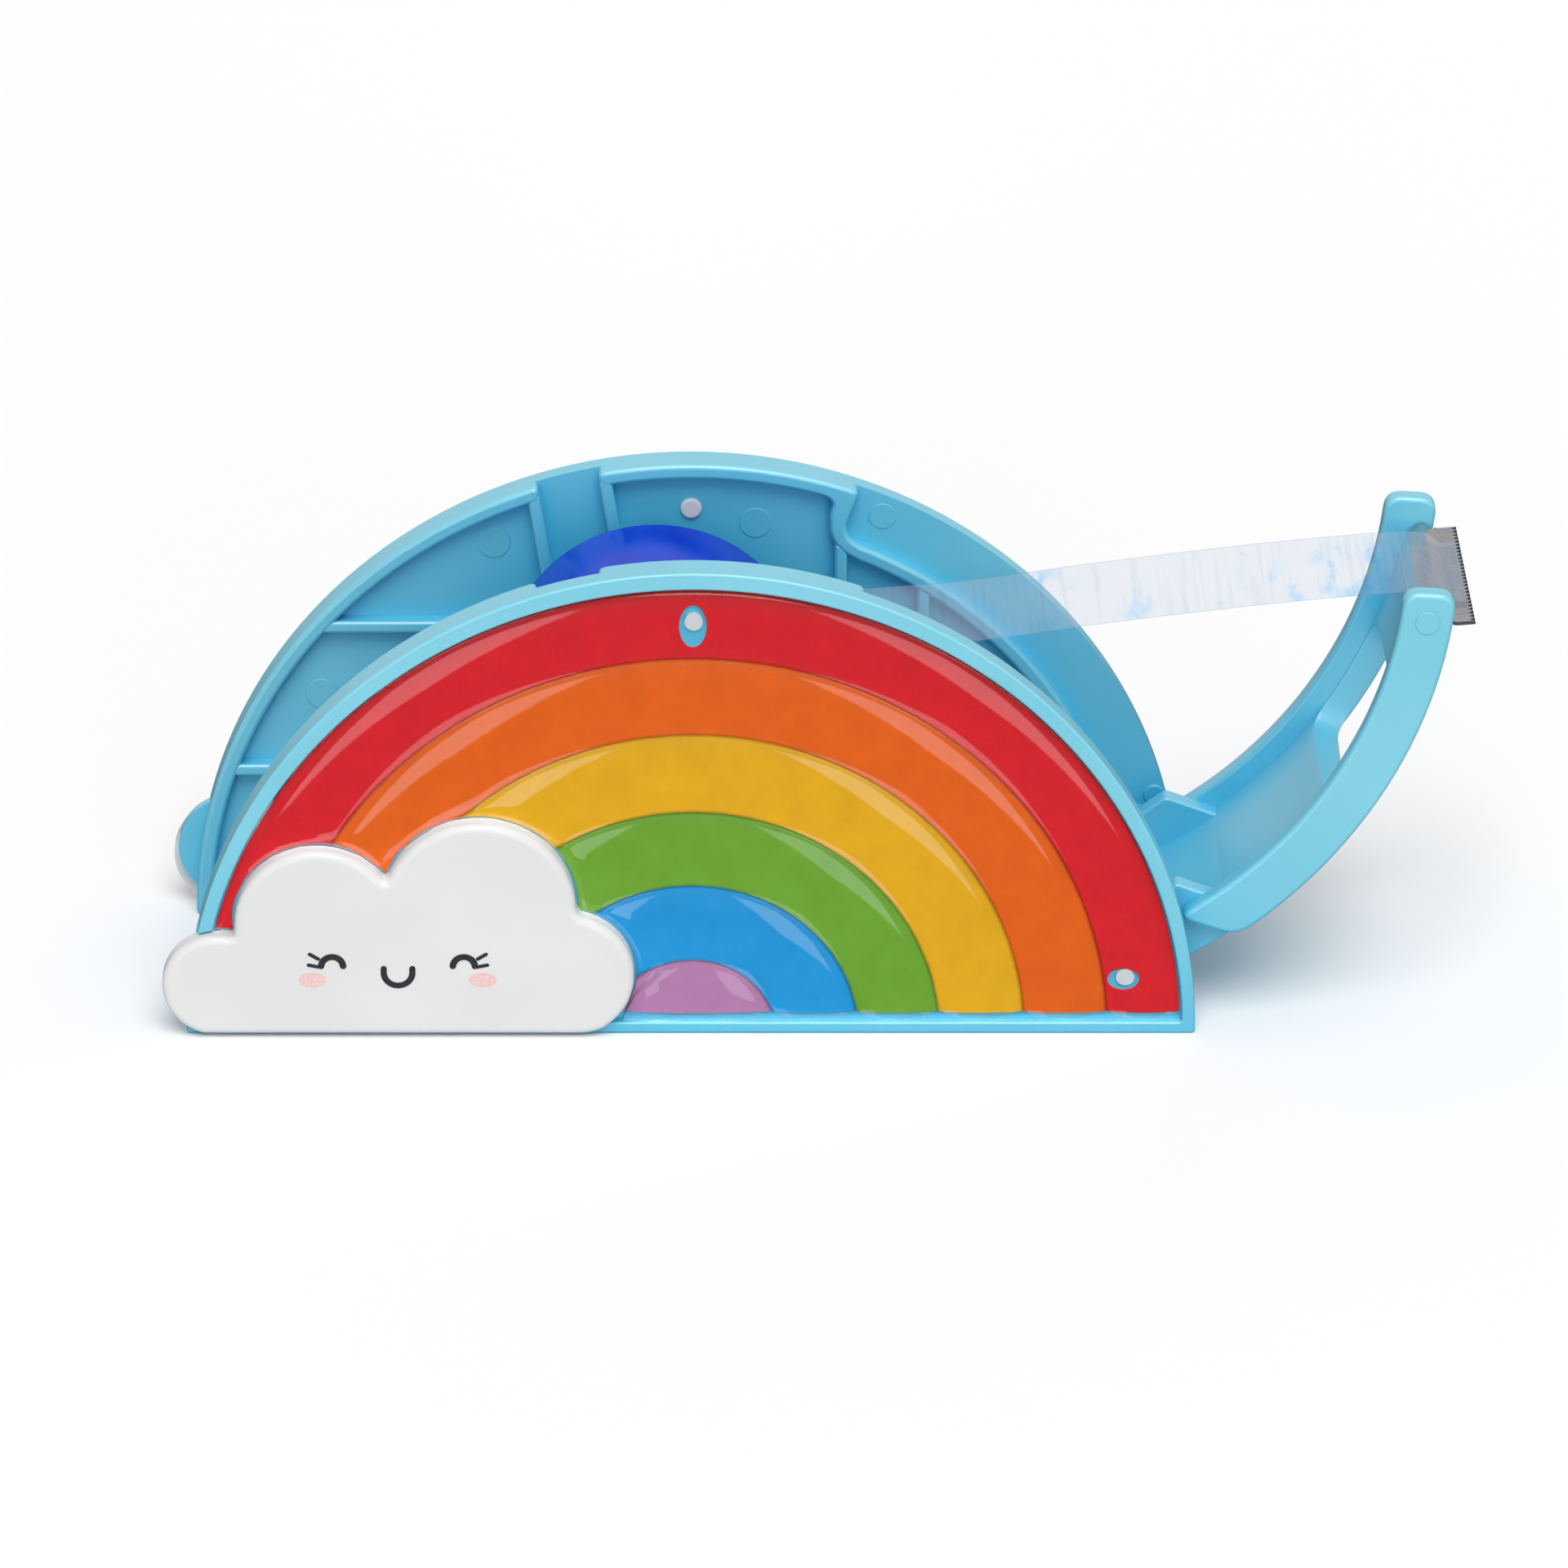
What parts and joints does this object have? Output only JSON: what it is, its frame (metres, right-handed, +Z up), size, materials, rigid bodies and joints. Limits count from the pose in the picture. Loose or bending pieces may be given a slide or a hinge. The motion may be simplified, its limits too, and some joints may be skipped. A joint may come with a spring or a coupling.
{
  "type": "tape dispenser",
  "caption": "Arch-shaped desk tape dispenser with rainbow faces, a drop-in tape reel and a swing-out toothed cutter arm.",
  "frame": {"origin": "centre of the half-round arch on the plane it stands on, half way through the depth", "axes": "+X along the length, towards the cutter arm's hinge; +Y to the rear face; +Z up"},
  "size_m": [0.1596, 0.04, 0.062],
  "materials": {
    "sky_plastic": "semi-gloss moulded plastic, light sky blue",
    "white_plastic": "satin white moulded plastic with a small printed face",
    "clear_plastic": "clear glossy domed plastic",
    "rainbow_print": "printed card with six curved colour bands",
    "steel": "bright steel",
    "blade_steel": "grey stamped spring steel",
    "grey_rubber": "soft non-slip pad",
    "tape_film": "nearly clear adhesive film with a faint blue tint",
    "tape_roll_blue": "many wound layers of clear blue film, deep translucent blue",
    "core_violet": "violet moulded core",
    "hub_plastic": "sky blue moulded plastic"
  },
  "bodies": {
    "housing": {"front_shell": "sky_plastic", "rear_shell": "sky_plastic", "base_tray": "sky_plastic", "base_screws": "steel", "foot_pads": "grey_rubber", "front_print": "rainbow_print", "rear_print": "rainbow_print", "front_cover": "clear_plastic", "rear_cover": "clear_plastic", "front_cloud": "white_plastic", "rear_cloud": "white_plastic", "cloud_screws": "steel", "hinge_pin": "steel", "tape_strip": "tape_film"},
    "arm": {"cutter_arm": "sky_plastic", "cutter_blade": "blade_steel", "tape_end": "tape_film"},
    "reel": {"reel_hub": "hub_plastic", "tape_core": "core_violet", "tape_roll": "tape_roll_blue"}
  },
  "joints": [
    {"name": "arm_hinge", "type": "hinge", "parent": "housing", "child": "arm", "pos_m": [0.057, 0, 0.0104], "axis": [0, -1, 0], "range_deg": [0, 73], "deforming": ["tape_strip"]},
    {"name": "reel_spin", "type": "hinge", "parent": "housing", "child": "reel", "pos_m": [-0.0044, 0, 0.0381], "axis": [0, 1, 0], "continuous": true}
  ]
}
